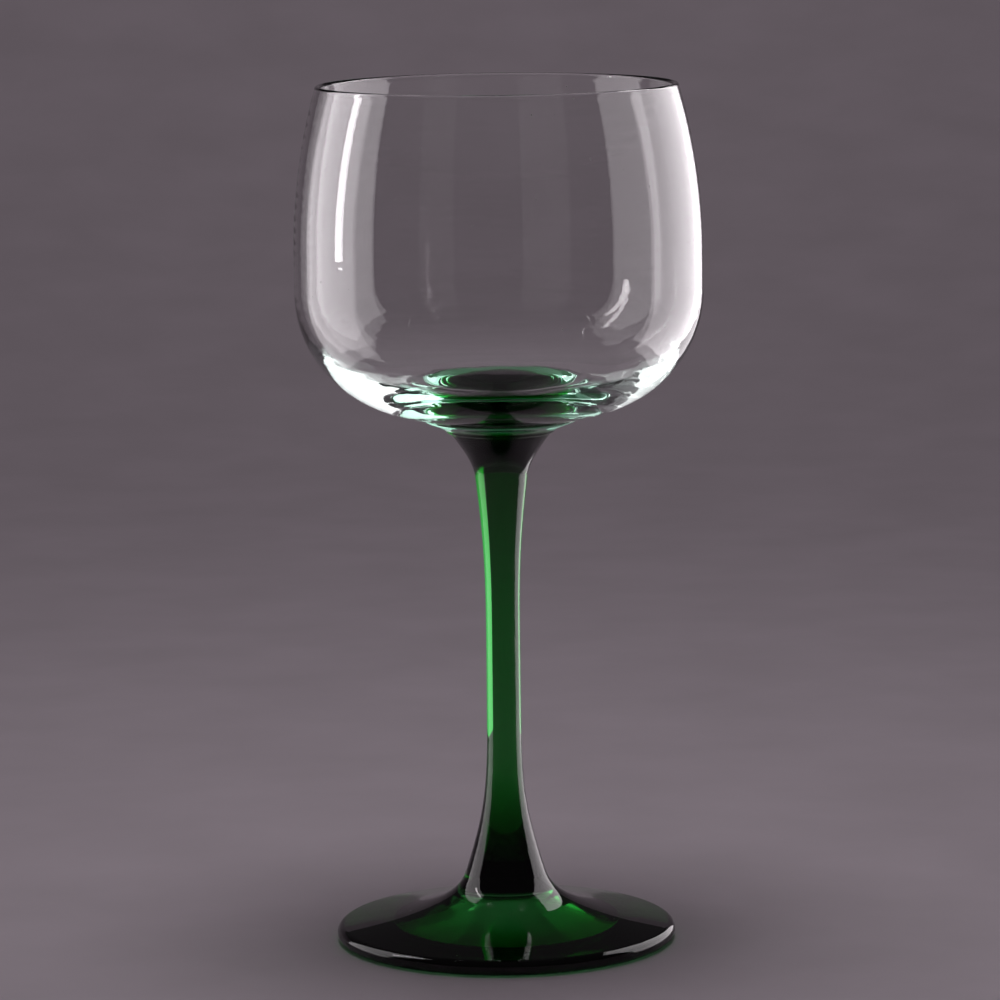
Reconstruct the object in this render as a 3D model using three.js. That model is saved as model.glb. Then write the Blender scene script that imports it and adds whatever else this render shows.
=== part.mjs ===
// Hock wine glass: a clear bowl on a green stem and foot, joined hot through a clear collar.
// Millimetres, +Z up. The origin is the centre of the circle that the foot rests on.
// Every piece is a solid of revolution about Z, so each one is drawn as half of its section.

import * as THREE from 'three';

// Overall sizes
const HEIGHT = 170;
const RIM_RADIUS = 35.5;
const BELLY_RADIUS = 40.1;
const STEM_RADIUS = 3.38;
const FOOT_RADIUS = 33.7;

// Every ..._CURVE below holds a curve's control points in order: radius, height, radius, height.

// Bowl: wall, rim, belly, underside and the thick floor inside
const RIM_BEAD = 0.62;
const WALL = 1.35;
const BELLY_LOW = 130;
const BELLY_HIGH = 137;
const SIDE_HEIGHT = 148.5;
const SHOULDER_RADIUS = 38.3;
const SHOULDER_HEIGHT = 160;
const TURN_HEIGHT = 116.1;
const UNDER_RADIUS = 21;
const UNDER_HEIGHT = 105.87;
const UNDER_SLOPE = 0.253;
const UNDER_REACH = 8.8;
const RING_RADIUS = 17.17;
const RING_HEIGHT = 105.03;
const RING_INNER_CURVE = [16.1, 105.03];
const RING_OUTER_CURVE = [18.97, 105.33];
const FLOOR_RADIUS = 20;
const FLOOR_EDGE = 109.61;
const FLOOR_SLOPE = 0.11;
const FLOOR_REACH = 8.75;
const FLOOR_INNER_REACH = 6;
const FLOOR_CENTRE = 110.47;
const FLOOR_CROWN = 8.42;
const FLOOR_TURN = 117.5;

// Collar: a clear button between bowl and stem, with a domed top
const CAP_TOP = 108;
const CAP_CROWN = 6.4;
const CAP_SHOULDER = 12.4;
const CAP_SHOULDER_PULL = 9.2;
const CAP_SHOULDER_RISE = 1.48;
const CAP_RADIUS = 15.5;
const CAP_HEIGHT = 105.12;
const COLLAR_LOW_RADIUS = 15.11;
const COLLAR_LOW = 104.14;
const COLLAR_NECK = 10.79;
const COLLAR_NECK_HEIGHT = 102.01;
const COLLAR_SIDE = 104.54;
const NECK_CURVE = [11.29, 102.91, 14.61, 103.64];
const COLLAR_FOOT = 101.5;
const COLLAR_FOOT_RADIUS = 10.3;

// Stem: domed head, trumpet, waist, flare
const HEAD_TOP = 107.1;
const HEAD_RADIUS = 9.64;
const HEAD_HEIGHT = 101.18;
const HEAD_SIDE = 105.92;
const HEAD_CROWN = 6.75;
const TRUMPET_RADIUS = 5.15;
const TRUMPET_HEIGHT = 92.8;
const WAIST_HIGH = 66;
const WAIST_LOW = 41;
const WAIST_LOW_RADIUS = 3.42;
const STEM_BOTTOM = 13.2;
const STEM_FLARE = 8.05;
const FLARE_CURVE = [4.75, 23.4, 3.6, 28];
const THROAT_CURVE = [3.38, 79.5, 4.5, 86.8];
const TRUMPET_CURVE = [5.45, 95.6, 7.74, 98.58];

// Foot: round edge, resting ring, deep conical kick underneath, top that rises to the stem
const EDGE_RADIUS = 1.6;
const EDGE_START = -Math.PI / 3;
const EDGE_END = Math.PI / 2.15;
const EDGE_CURVE = [27, 4.1, 23, 4.7];
const RESTING_OUTER = 31.4;
const SLOPE_RADIUS = 20;
const SLOPE_HEIGHT = 5.4;
const SLOPE_CURVE = [11.5, 7.6, 9.3, 10.3];
const BOSS_RADIUS = 8.2;
const KICK_HEIGHT = 11.2;
const KICK_ROOF_CURVE = [8, 11.2, 8.8, 8.3];
const KICK_SHOULDER_RADIUS = 9.4;
const KICK_SHOULDER_HEIGHT = 7.6;
const KICK_SIDE_RADIUS = 11.6;
const KICK_SIDE_HEIGHT = 5.55;
const KICK_SKIRT_CURVE = [12.5, 4.73, 21.2, 0];
const KICK_RADIUS = 21.8;

// Fused faces are kept this far apart, so that each piece is its own solid.
const GAP = 0.3;

const CURVE_STEPS = 6;
const FINE_SEGMENTS = 44;
const STEM_SEGMENTS = 28;

const clearGlass = () =>
  new THREE.MeshStandardMaterial({
    color: 0xeef1ee, roughness: 0.03, metalness: 0, transparent: true, opacity: 0.3 });

const greenGlass = () =>
  new THREE.MeshStandardMaterial({ color: 0x0b5a2a, roughness: 0.04, metalness: 0 });

// Turns a half section, drawn with x as the radius and y as the height, about the Z axis.
function turned(name, section, material, segments) {
  const geometry = new THREE.LatheGeometry(section.getPoints(CURVE_STEPS), segments);
  geometry.rotateX(Math.PI / 2);
  const mesh = new THREE.Mesh(geometry, material);
  mesh.name = name;
  return mesh;
}

// A thick-based bowl: almost upright wall, round turn, shallow underside, fire-polished rim. Its
// underside is hollowed to take the domed collar.
function bowl() {
  const rimCentre = RIM_RADIUS - RIM_BEAD;
  const innerBelly = BELLY_RADIUS - WALL;
  const innerShoulder = SHOULDER_RADIUS - WALL;
  const capTop = CAP_TOP + GAP;
  const capHeight = CAP_HEIGHT + GAP;
  const shoulderPull = capHeight + CAP_SHOULDER_RISE;
  const underPull = UNDER_HEIGHT + UNDER_REACH * UNDER_SLOPE;
  const floorPull = FLOOR_EDGE + FLOOR_REACH * FLOOR_SLOPE;
  const innerPull = FLOOR_EDGE - FLOOR_INNER_REACH * FLOOR_SLOPE;
  const section = new THREE.Path();
  section.moveTo(0, capTop);
  section.bezierCurveTo(CAP_CROWN, capTop, CAP_SHOULDER_PULL, shoulderPull, CAP_SHOULDER, capHeight);
  section.lineTo(CAP_RADIUS, capHeight);
  section.quadraticCurveTo(...RING_INNER_CURVE, RING_RADIUS, RING_HEIGHT);
  section.quadraticCurveTo(...RING_OUTER_CURVE, UNDER_RADIUS, UNDER_HEIGHT);
  section.bezierCurveTo(
    UNDER_RADIUS + UNDER_REACH, underPull, BELLY_RADIUS, TURN_HEIGHT, BELLY_RADIUS, BELLY_LOW);
  section.lineTo(BELLY_RADIUS, BELLY_HIGH);
  section.bezierCurveTo(
    BELLY_RADIUS, SIDE_HEIGHT, SHOULDER_RADIUS, SHOULDER_HEIGHT, RIM_RADIUS, HEIGHT - RIM_BEAD);
  section.absarc(rimCentre, HEIGHT - RIM_BEAD, RIM_BEAD, 0, Math.PI, false);
  section.bezierCurveTo(
    innerShoulder, SHOULDER_HEIGHT, innerBelly, SIDE_HEIGHT, innerBelly, BELLY_HIGH);
  section.lineTo(innerBelly, BELLY_LOW);
  section.bezierCurveTo(
    innerBelly, FLOOR_TURN, FLOOR_RADIUS + FLOOR_REACH, floorPull, FLOOR_RADIUS, FLOOR_EDGE);
  section.bezierCurveTo(
    FLOOR_RADIUS - FLOOR_INNER_REACH, innerPull, FLOOR_CROWN, FLOOR_CENTRE, 0, FLOOR_CENTRE);
  return turned('bowl', section, clearGlass(), FINE_SEGMENTS);
}

// The merese: a clear button over the head of the stem, with a round edge and a short neck.
function collar() {
  const cavityTop = HEAD_TOP + GAP;
  const cavityRadius = HEAD_RADIUS + GAP;
  const section = new THREE.Path();
  section.moveTo(0, cavityTop);
  section.bezierCurveTo(HEAD_CROWN, cavityTop, cavityRadius, HEAD_SIDE, cavityRadius, COLLAR_FOOT);
  section.lineTo(COLLAR_FOOT_RADIUS, COLLAR_FOOT);
  section.lineTo(COLLAR_NECK, COLLAR_NECK_HEIGHT);
  section.bezierCurveTo(...NECK_CURVE, COLLAR_LOW_RADIUS, COLLAR_LOW);
  section.quadraticCurveTo(CAP_RADIUS, COLLAR_SIDE, CAP_RADIUS, CAP_HEIGHT);
  section.lineTo(CAP_SHOULDER, CAP_HEIGHT);
  section.bezierCurveTo(
    CAP_SHOULDER_PULL, CAP_HEIGHT + CAP_SHOULDER_RISE, CAP_CROWN, CAP_TOP, 0, CAP_TOP);
  return turned('collar', section, clearGlass(), FINE_SEGMENTS);
}

// Solid stem: flare at the bottom that runs on from the foot, slim waist, trumpet, domed head.
function stem() {
  const section = new THREE.Path();
  section.moveTo(0, STEM_BOTTOM);
  section.lineTo(STEM_FLARE, STEM_BOTTOM);
  section.bezierCurveTo(...FLARE_CURVE, WAIST_LOW_RADIUS, WAIST_LOW);
  section.lineTo(STEM_RADIUS, WAIST_HIGH);
  section.bezierCurveTo(...THROAT_CURVE, TRUMPET_RADIUS, TRUMPET_HEIGHT);
  section.bezierCurveTo(...TRUMPET_CURVE, HEAD_RADIUS, HEAD_HEIGHT);
  section.bezierCurveTo(HEAD_RADIUS, HEAD_SIDE, HEAD_CROWN, HEAD_TOP, 0, HEAD_TOP);
  return turned('stem', section, greenGlass(), STEM_SEGMENTS);
}

// Foot: a flat resting ring round a deep kick, a round edge, and a top that rises to the stem. The
// kick has a flat roof under the stem and a conical wall that spreads into a skirt.
function foot() {
  const edgeCentre = FOOT_RADIUS - EDGE_RADIUS;
  const bossHeight = STEM_BOTTOM - GAP;
  const section = new THREE.Path();
  section.moveTo(0, KICK_HEIGHT);
  section.bezierCurveTo(...KICK_ROOF_CURVE, KICK_SHOULDER_RADIUS, KICK_SHOULDER_HEIGHT);
  section.lineTo(KICK_SIDE_RADIUS, KICK_SIDE_HEIGHT);
  section.bezierCurveTo(...KICK_SKIRT_CURVE, KICK_RADIUS, 0);
  section.lineTo(RESTING_OUTER, 0);
  section.absarc(edgeCentre, EDGE_RADIUS, EDGE_RADIUS, EDGE_START, EDGE_END, false);
  section.bezierCurveTo(...EDGE_CURVE, SLOPE_RADIUS, SLOPE_HEIGHT);
  section.bezierCurveTo(...SLOPE_CURVE, BOSS_RADIUS, bossHeight);
  section.lineTo(0, bossHeight);
  return turned('foot', section, greenGlass(), FINE_SEGMENTS);
}

const wineGlass = new THREE.Group();
wineGlass.add(bowl(), collar(), stem(), foot());

export default wineGlass;
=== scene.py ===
import math

import bpy
from mathutils import Matrix, Vector


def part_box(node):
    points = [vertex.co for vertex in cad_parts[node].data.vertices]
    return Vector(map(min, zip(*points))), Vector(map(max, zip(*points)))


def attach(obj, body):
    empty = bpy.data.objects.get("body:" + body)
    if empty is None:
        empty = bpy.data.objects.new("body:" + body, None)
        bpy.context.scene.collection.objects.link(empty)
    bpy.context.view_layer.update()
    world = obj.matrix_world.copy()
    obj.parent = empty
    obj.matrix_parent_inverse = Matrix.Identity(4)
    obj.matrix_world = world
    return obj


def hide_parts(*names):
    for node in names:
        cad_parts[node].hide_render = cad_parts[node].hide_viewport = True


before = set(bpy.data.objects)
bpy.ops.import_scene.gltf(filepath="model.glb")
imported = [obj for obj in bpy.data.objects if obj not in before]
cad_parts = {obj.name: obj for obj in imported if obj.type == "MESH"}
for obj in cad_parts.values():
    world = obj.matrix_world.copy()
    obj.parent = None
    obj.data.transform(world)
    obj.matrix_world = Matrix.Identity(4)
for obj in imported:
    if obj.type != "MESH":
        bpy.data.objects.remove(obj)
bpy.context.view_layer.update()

MM = 0.001

# ---------------------------------------------------------------- sizes, in millimetres

bowl_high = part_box("bowl")[1]
foot_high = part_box("foot")[1]

HEIGHT = bowl_high[2] / MM
BELLY_R = bowl_high[0] / MM
FOOT_R = foot_high[0] / MM

WALL = 1.35
RIM_R = 35.5
RIM_BEAD = 0.62
EDGE_R = 1.6

JOINT_BOWL = 105.12
JOINT_STEM = 101.18
JOINT_FOOT = 13.05
DOME_TOP = 107.1
CAP_TOP = 108.0
CAP_FLAT = 12.4
CAP_RIM = 15.5
STEM_RIM = 9.64
BOSS_R = 8.1
SEAM = 0.02

TURNS = 224


# ---------------------------------------------------------------- half sections

def line(*points):
    return [Vector(p) for p in points]


def bezier(a, b, c, d, steps=28):
    a, b, c, d = (Vector(p) for p in (a, b, c, d))
    out = []
    for i in range(steps + 1):
        t = i / steps
        s = 1 - t
        out.append(s**3 * a + 3 * s * s * t * b + 3 * s * t * t * c + t**3 * d)
    return out


def arc(centre, radius, start, end, steps=20):
    out = []
    for i in range(steps + 1):
        a = math.radians(start + (end - start) * i / steps)
        out.append(Vector((centre[0] + radius * math.cos(a), centre[1] + radius * math.sin(a))))
    return out


def revolve(name, stretches, materials):
    """A closed body turned about Z. Each stretch is (points, material index); a joint between two
    stretches of different material is a sharp ring."""
    rings, owner = [], []
    for points, slot in stretches:
        for p in points:
            if rings and (rings[-1] - p).length < 1e-6:
                continue
            if rings:
                owner.append(slot)
            rings.append(p)
    verts, faces, face_slots, index = [], [], [], []
    for p in rings:
        if p.x < 1e-9:
            index.append([len(verts)])
            verts.append((0.0, 0.0, p.y * MM))
            continue
        start = len(verts)
        for k in range(TURNS):
            a = 2 * math.pi * k / TURNS
            verts.append((p.x * MM * math.cos(a), p.x * MM * math.sin(a), p.y * MM))
        index.append(list(range(start, start + TURNS)))
    sharp = set()
    for i, slot in enumerate(owner):
        low, high = index[i], index[i + 1]
        for k in range(TURNS):
            n = (k + 1) % TURNS
            if len(low) == 1:
                faces.append((low[0], high[n], high[k]))
            elif len(high) == 1:
                faces.append((low[k], low[n], high[0]))
            else:
                faces.append((low[k], low[n], high[n], high[k]))
            face_slots.append(slot)
        if i and owner[i - 1] != slot:
            sharp.update(tuple(sorted((low[k], low[(k + 1) % TURNS]))) for k in range(TURNS))
    mesh = bpy.data.meshes.new(name)
    mesh.from_pydata(verts, [], faces)
    mesh.update()
    for m in materials:
        mesh.materials.append(m)
    mesh.polygons.foreach_set("material_index", face_slots)
    mesh.polygons.foreach_set("use_smooth", [True] * len(faces))
    for e in mesh.edges:
        if tuple(sorted(e.vertices)) in sharp:
            e.use_edge_sharp = True
    piece = bpy.data.objects.new(name, mesh)
    bpy.context.collection.objects.link(piece)
    return piece


# ---------------------------------------------------------------- glass

# Volume absorption colour, and density per metre
CLEAR = (0.90, 1.0, 0.96), 18.0
GREEN = (0.38, 0.81, 0.50), 1000.0
GLASS_IOR = 1.52
JOINT_IOR = 1.0

# Surface marks: scales are per metre, heights and radii in metres
RIPPLE_SCALE = 140.0
RIPPLE_CLEAR = 6.0e-6
RIPPLE_GREEN = 1.5e-6
SWELL_SCALE = 55.0
SWELL = 3.0e-5
SMEAR_SCALE = 38.0
SMEAR_CLEAR = 0.05
SMEAR_GREEN = 0.06
DUST_SCALE = 420.0
DUST_SIZE = 0.09, 0.05
DUST_CHANCE = 0.93, 0.94
DUST_ROUGH = 0.45
KICK_REACH = 0.0222, 0.0214
KICK_GRAIN = 160.0
KICK_ROUGH = 0.2
WORN_RISE = 0.0196, 0.0210
WORN_FALL = 0.0240, 0.0222
WORN_OUTER = 0.0290, 0.0305
WORN_LOW = 0.0009, 0.0002
SCUFF_SCALE = 1500.0
SCUFF_ROUGH = 0.7
SCUFF_DEPTH = 4.0e-5


def glass(name, tint, density, ior=GLASS_IOR):
    """Clear or coloured glass: the colour is in the depth of the glass, not on its surface."""
    mat = bpy.data.materials.new(name)
    mat.use_nodes = True
    nt = mat.node_tree
    p = nt.nodes["Principled BSDF"]
    p.inputs["Base Color"].default_value = (1, 1, 1, 1)
    p.inputs["Roughness"].default_value = 0.0
    p.inputs["IOR"].default_value = ior
    p.inputs["Transmission Weight"].default_value = 1.0
    v = nt.nodes.new("ShaderNodeVolumeAbsorption")
    v.inputs["Color"].default_value = (*tint, 1)
    v.inputs["Density"].default_value = density
    nt.links.new(v.outputs["Volume"], nt.nodes["Material Output"].inputs["Volume"])
    return mat


class Nodes:
    """Short ways to add and link the nodes of one material."""

    def __init__(self, mat):
        self.tree = mat.node_tree
        self.where = self.add("TexCoord")

    def link(self, source, socket):
        self.tree.links.new(source, socket)

    def add(self, kind, vector=None, **values):
        n = self.tree.nodes.new("ShaderNode" + kind)
        for key, value in values.items():
            if key in n.inputs:
                n.inputs[key].default_value = value
            else:
                setattr(n, key, value)
        if vector:
            self.link(vector, n.inputs["Vector"])
        return n

    def ramp(self, source, start, end, top=1.0):
        """Maps source from start..end onto 0..top, clamped."""
        n = self.add("MapRange", clamp=True)
        for key, value in (("From Min", start), ("From Max", end), ("To Max", top)):
            n.inputs[key].default_value = value
        self.link(source, n.inputs["Value"])
        return n.outputs["Result"]

    def noise(self, scale, start, end, top=1.0, detail=3.0, stretch=(1, 1, 1)):
        spread = self.add("Mapping", self.where.outputs["Object"], Scale=stretch)
        n = self.add("TexNoise", spread.outputs["Vector"], Scale=scale, Detail=detail)
        return self.ramp(n.outputs["Fac"], start, end, top)

    def maths(self, operation, first, *others):
        for other in others:
            n = self.add("Math", operation=operation)
            for socket, value in zip(n.inputs, (first, other)):
                if isinstance(value, (int, float)):
                    socket.default_value = value
                else:
                    self.link(value, socket)
            first = n.outputs["Value"]
        return first

    def bump(self, height, distance, under=None):
        n = self.add("Bump", Distance=distance)
        self.link(height, n.inputs["Height"])
        if under:
            self.link(under, n.inputs["Normal"])
        return n.outputs["Normal"]


def handled(mat, ripple, smear):
    """Marks of making and use, at their real scale: turning ripples and waviness in the surface,
    finger smears and dust. Gives back the nodes, the roughness and the normal."""
    n = Nodes(mat)
    place = n.where.outputs["Object"]
    swell = n.noise(SWELL_SCALE, 0.0, 1.0, detail=1.0)
    rings = n.add("TexWave", place, wave_type="BANDS", bands_direction="Z", Scale=RIPPLE_SCALE,
                  Distortion=3.0, Detail=2.0)
    dust = n.add("TexVoronoi", place, Scale=DUST_SCALE)
    chance = n.add("SeparateColor")
    n.link(dust.outputs["Color"], chance.inputs["Color"])
    speck = n.maths("MULTIPLY", n.ramp(dust.outputs["Distance"], *DUST_SIZE),
                    n.ramp(chance.outputs["Red"], *DUST_CHANCE, DUST_ROUGH))
    smears = n.noise(SMEAR_SCALE, 0.5, 0.78, smear, detail=5.0, stretch=(1.0, 1.0, 0.35))
    normal = n.bump(rings.outputs["Fac"], ripple, n.bump(swell, SWELL))
    return n, n.maths("MAXIMUM", smears, speck), normal


def finish(mat, n, rough, normal):
    shader = mat.node_tree.nodes["Principled BSDF"]
    n.link(rough, shader.inputs["Roughness"])
    n.link(normal, shader.inputs["Normal"])


def finish_green(mat):
    """Green glass also has the dull pressed surface of the kick, and scuffs where the foot stands."""
    n, rough, normal = handled(mat, RIPPLE_GREEN, SMEAR_GREEN)
    parts = n.add("SeparateXYZ", n.where.outputs["Object"])
    facing = n.add("SeparateXYZ", n.where.outputs["Normal"])
    across = n.maths("POWER", parts.outputs["X"], 2.0)
    along = n.maths("POWER", parts.outputs["Y"], 2.0)
    radius = n.maths("POWER", n.maths("ADD", across, along), 0.5)
    below = n.ramp(facing.outputs["Z"], 0.0, -0.1)
    kick = n.maths("MULTIPLY", below, n.ramp(radius, *KICK_REACH),
                   n.noise(KICK_GRAIN, 0.2, 0.8, KICK_ROUGH))
    low = n.ramp(parts.outputs["Z"], *WORN_LOW)
    inner = n.maths("MULTIPLY", n.ramp(radius, *WORN_RISE), n.ramp(radius, *WORN_FALL))
    outer = n.ramp(radius, *WORN_OUTER, 0.5)
    worn = n.maths("MULTIPLY", n.maths("MAXIMUM", inner, outer), low, below)
    scuffs = n.maths("MULTIPLY", worn, n.noise(SCUFF_SCALE, 0.40, 0.58, SCUFF_ROUGH))
    finish(mat, n, n.maths("MAXIMUM", rough, kick, scuffs), n.bump(scuffs, SCUFF_DEPTH, normal))


clear = glass("clear_glass", *CLEAR)
clear_joint = glass("clear_glass_joint", *CLEAR, ior=JOINT_IOR)
green = glass("green_glass", *GREEN)
green_joint = glass("green_glass_joint", *GREEN, ior=JOINT_IOR)
finish(clear, *handled(clear, RIPPLE_CLEAR, SMEAR_CLEAR))
finish_green(green)


# ---------------------------------------------------------------- pieces

# A joint face has index 1.0, so that no reflection shows inside fused glass. Facing joint faces
# are a seam apart, because faces in exactly the same place confuse what is inside what.

def cap(out=0.0):
    """The joint between collar and bowl: flat at its rim, then up and over the head of the stem."""
    brim = line((CAP_RIM, JOINT_BOWL + out), (CAP_FLAT, JOINT_BOWL + out))
    return brim + bezier((CAP_FLAT, JOINT_BOWL + out), (9.2, 106.6 + out), (6.4, CAP_TOP + out),
                         (0, CAP_TOP + out), 30)


def dome(out=0.0):
    """The head of the green stem, which bulges up into the clear collar; from its rim to the axis."""
    return bezier((STEM_RIM + out, JOINT_STEM), (STEM_RIM + out, 105.92), (6.75, DOME_TOP + out),
                  (0, DOME_TOP + out), 30)


def make_bowl():
    """Underside, belly and rim from the outside in, then down the inner wall to the thick floor."""
    inner = BELLY_R - WALL
    rim_z = HEIGHT - RIM_BEAD
    side = bezier((CAP_RIM, JOINT_BOWL + SEAM), (15.8, 105.13), (16.4, 105.03), (17.17, 105.03), 14)
    side += bezier((17.17, 105.03), (17.8, 105.03), (20.2, 105.67), (21, 105.87), 10)
    side += bezier((21, 105.87), (29.8, 108.1), (BELLY_R, 116.1), (BELLY_R, 130), 60)
    side += line((BELLY_R, 130), (BELLY_R, 133.5), (BELLY_R, 137))
    side += bezier((BELLY_R, 137), (BELLY_R, 148.5), (38.3, 160), (RIM_R, rim_z), 40)
    side += arc((RIM_R - RIM_BEAD, rim_z), RIM_BEAD, 0, 180, 24)
    side += bezier((RIM_R - 2 * RIM_BEAD, rim_z), (37, 160), (inner, 148.5), (inner, 137), 40)
    side += line((inner, 137), (inner, 133.5), (inner, 130))
    side += bezier((inner, 130), (inner, 117.5), (28.75, 110.57), (20, 109.61), 60)
    side += bezier((20, 109.61), (14, 108.95), (8.42, 110.47), (0, 110.47), 30)
    return revolve("glass_bowl", [(cap(SEAM)[::-1], 1), (side, 0)], [clear, clear_joint])


def make_collar():
    side = bezier((STEM_RIM + SEAM, JOINT_STEM), (10.14, 101.98), (10.49, 101.51), (10.79, 102.01), 10)
    side += bezier((10.79, 102.01), (11.29, 102.91), (14.56, 103.64), (15.11, 104.14), 20)
    side += bezier((15.11, 104.14), (15.46, 104.4), (CAP_RIM, 104.6), (CAP_RIM, JOINT_BOWL), 12)
    stretches = [(dome(SEAM)[::-1], 1), (side, 0), (cap(), 1)]
    return revolve("glass_collar", stretches, [clear, clear_joint])


def make_stem():
    low = line((0, JOINT_FOOT), (BOSS_R, JOINT_FOOT))
    side = bezier((BOSS_R, JOINT_FOOT), (4.75, 23.4), (3.6, 28), (3.42, 41), 60)
    side += bezier((3.42, 41), (3.38, 49), (3.36, 58), (3.38, 66), 30)
    side += bezier((3.38, 66), (3.42, 79.5), (4.5, 86.8), (5.15, 92.8), 50)
    side += bezier((5.15, 92.8), (5.45, 95.6), (7.74, 98.58), (STEM_RIM, JOINT_STEM), 40)
    return revolve("glass_stem", [(low, 1), (side, 0), (dome(), 1)], [green, green_joint])


def make_foot():
    """Kick from its roof down, resting ring, round edge, then the slope up to the stem."""
    centre = FOOT_R - EDGE_R
    top = JOINT_FOOT - SEAM
    side = bezier((0, 11.2), (8, 11.2), (8.8, 8.3), (9.4, 7.6), 40)
    side += bezier((9.4, 7.6), (10.28, 6.78), (10.74, 6.36), (11.6, 5.55), 12)
    side += bezier((11.6, 5.55), (12.5, 4.73), (21.2, 0), (21.8, 0), 40)
    side += line((21.8, 0), (26, 0), (31.4, 0))
    side += bezier((31.4, 0), (32, 0), (32.5, 0), (centre + EDGE_R * 0.5, 0.22), 10)
    side += arc((centre, EDGE_R), EDGE_R, -60, 84, 36)
    side += bezier(side[-1], (27, 4.1), (23, 4.7), (20, 5.4), 30)
    side += bezier((20, 5.4), (11.5, 7.6), (9.3, 10.3), (BOSS_R, top), 50)
    return revolve("glass_foot", [(side, 0), (line((BOSS_R, top), (0, top)), 1)], [green, green_joint])


for piece, node, slot in (
    (make_bowl(), "bowl", "clear_glass"),
    (make_collar(), "collar", "clear_glass"),
    (make_stem(), "stem", "green_glass"),
    (make_foot(), "foot", "green_glass"),
):
    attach(piece, "root")
    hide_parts(node)


# ---------------------------------------------------------------- studio

PAPER_DARK = (0.71, 0.605, 0.68, 1)
PAPER_LIGHT = (0.77, 0.655, 0.74, 1)
FLOOR_R = 0.55
FLOOR_LEVEL = -0.1 * MM
COVE_R = 1.4
COVE_ANGLE = 50
COVE_STEPS = 24
SWEEP_TURNS = 96
PANEL_DISTANCE = 0.17
SOFT = (1.0, 0.94, 0.975)
WORLD_COLOUR = (0.62, 0.56, 0.61, 1)
WORLD_STRENGTH = 0.05
BOUNCES = 32


def paper():
    """Pale card with a faint mottle."""
    mat = bpy.data.materials.new("studio_paper")
    mat.use_nodes = True
    n = Nodes(mat)
    mottle = n.add("MixRGB")
    mottle.inputs["Color1"].default_value = PAPER_DARK
    mottle.inputs["Color2"].default_value = PAPER_LIGHT
    n.link(n.noise(26.0, 0.3, 0.7, detail=6.0), mottle.inputs["Fac"])
    shader = mat.node_tree.nodes["Principled BSDF"]
    n.link(mottle.outputs["Color"], shader.inputs["Base Color"])
    shader.inputs["Roughness"].default_value = 0.9
    shader.inputs["Specular IOR Level"].default_value = 0.0
    return mat


def sweep():
    """Floor and cove in one sheet, round about Z, so that every view has the same backdrop. The
    floor is just under the foot, so that the two surfaces don't coincide."""
    outline = [(r, FLOOR_LEVEL) for r in (0.0, 0.1, 0.2, 0.3, 0.45, FLOOR_R)]
    for i in range(1, COVE_STEPS + 1):
        a = math.radians(COVE_ANGLE) * i / COVE_STEPS
        outline.append((FLOOR_R + COVE_R * math.sin(a), FLOOR_LEVEL + COVE_R * (1 - math.cos(a))))
    verts, faces = [(0, 0, FLOOR_LEVEL)], []
    n = SWEEP_TURNS
    for r, z in outline[1:]:
        for k in range(n):
            a = 2 * math.pi * k / n
            verts.append((r * math.cos(a), r * math.sin(a), z))
    for k in range(n):
        faces.append((0, 1 + k, 1 + (k + 1) % n))
    for i in range(len(outline) - 2):
        a, b = 1 + i * n, 1 + (i + 1) * n
        for k in range(n):
            m = (k + 1) % n
            faces.append((a + k, b + k, b + m, a + m))
    mesh = bpy.data.meshes.new("studio_sweep")
    mesh.from_pydata(verts, [], faces)
    mesh.polygons.foreach_set("use_smooth", [True] * len(faces))
    mesh.materials.append(paper())
    obj = bpy.data.objects.new("studio_sweep", mesh)
    bpy.context.collection.objects.link(obj)


def panel(name, azimuth, span, low, high, radiance):
    """An upright area light that faces the glass. Azimuth is from the camera's side, positive to the
    right, and span is the angle that the panel fills, both in degrees."""
    width = 2 * PANEL_DISTANCE * math.tan(math.radians(span / 2))
    light = bpy.data.lights.new(name, "AREA")
    light.shape = "RECTANGLE"
    light.size = width
    light.size_y = high - low
    light.energy = radiance * math.pi * width * (high - low)
    light.color = SOFT
    obj = bpy.data.objects.new(name, light)
    a = math.radians(azimuth)
    facing = Vector((-math.sin(a), math.cos(a), 0))
    obj.location = (*(-PANEL_DISTANCE * facing.xy), (low + high) / 2)
    obj.rotation_euler = facing.to_track_quat("-Z", "Y").to_euler()
    obj.visible_camera = False
    obj.visible_diffuse = False
    bpy.context.collection.objects.link(obj)
    return obj


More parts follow.
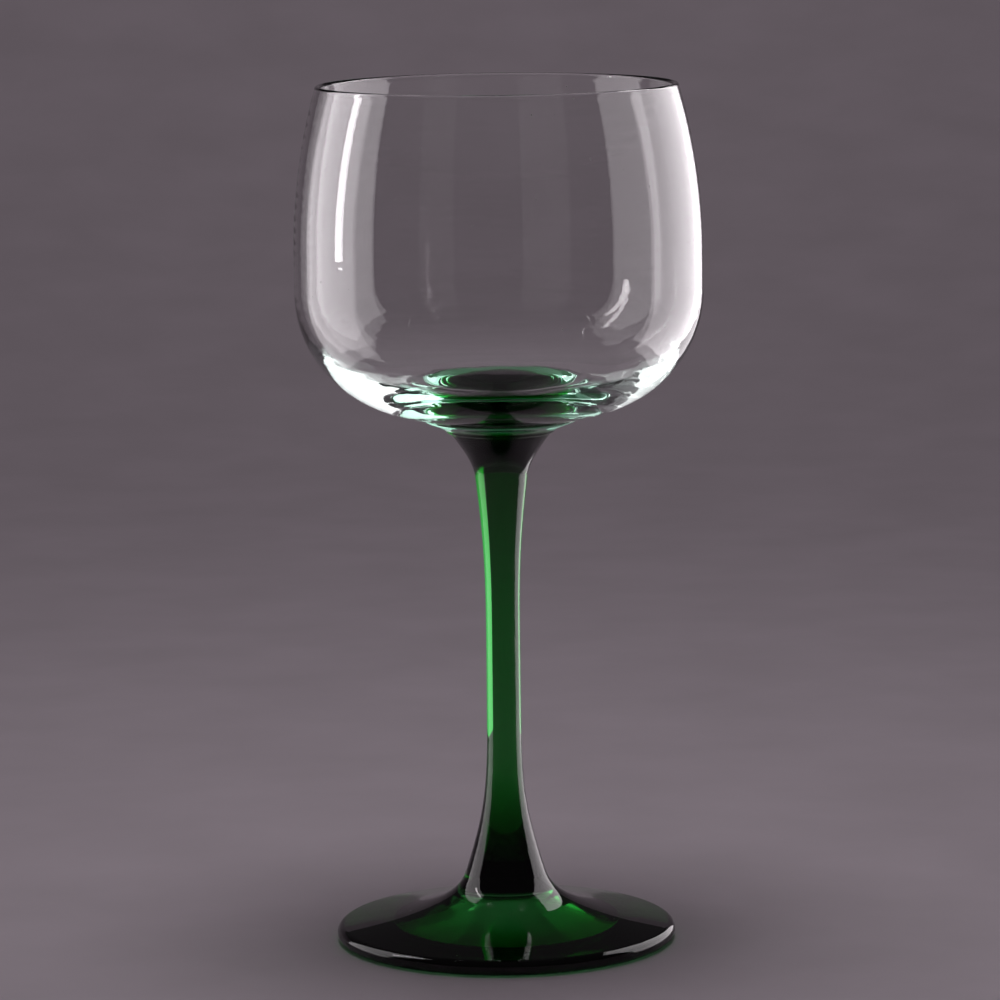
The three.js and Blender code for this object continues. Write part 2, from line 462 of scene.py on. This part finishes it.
def fill(name, location, target, size, power):
    """A soft light for the floor and the backdrop only: the glass shows no image of it."""
    light = bpy.data.lights.new(name, "AREA")
    light.shape = "DISK"
    light.size = size
    light.energy = power
    obj = bpy.data.objects.new(name, light)
    obj.location = location
    obj.rotation_euler = (Vector(target) - obj.location).to_track_quat("-Z", "Y").to_euler()
    obj.visible_camera = False
    obj.visible_glossy = False
    obj.visible_transmission = False
    bpy.context.collection.objects.link(obj)
    return obj


def camera():
    """Looks down by the pitch at the photograph's distance, with its small roll."""
    distance, height, pitch, roll, yaw = 0.9276, 0.2281, 8.583, 0.676, 0.0179
    data = bpy.data.cameras.new("camera")
    data.sensor_width = 36
    data.lens = 171.4
    data.clip_start = 0.01
    cam = bpy.data.objects.new("camera", data)
    turn = Matrix.Rotation(math.radians(yaw), 4, "Z")
    tilt = Matrix.Rotation(math.radians(90 - pitch), 4, "X")
    twist = Matrix.Rotation(math.radians(-roll), 4, "Z")
    cam.matrix_world = Matrix.Translation((0, -distance, height)) @ turn @ tilt @ twist
    bpy.context.collection.objects.link(cam)
    bpy.context.scene.camera = cam
    return cam


sweep()
rig = [
    panel("left_softbox", -102, 44, 0.002, 0.30, 1.4),
    panel("right_softbox", 119, 62, 0.002, 0.24, 1.9),
    panel("left_strip", -91, 4, 0.125, 0.26, 9.0),
    fill("back_softbox", (0, 1.0, 0.9), (0, 1.05, 0.0), 0.8, 0.85),
]
fill("top_softbox", (0, 0, 0.62), (0, 0, 0), 0.3, 0.8)

world = bpy.data.worlds.new("studio")
world.use_nodes = True
world.node_tree.nodes["Background"].inputs["Color"].default_value = WORLD_COLOUR
world.node_tree.nodes["Background"].inputs["Strength"].default_value = WORLD_STRENGTH
studio = bpy.context.scene
studio.world = world
studio.view_settings.view_transform = "Standard"
studio.cycles.max_bounces = BOUNCES
studio.cycles.transmission_bounces = BOUNCES
studio.cycles.glossy_bounces = BOUNCES

# The side lights ride with the camera, as on a turntable where the glass turns and the lights stay.
view = camera()
bpy.context.view_layer.update()
for lamp in rig:
    lamp.parent = view
    lamp.matrix_parent_inverse = view.matrix_world.inverted()
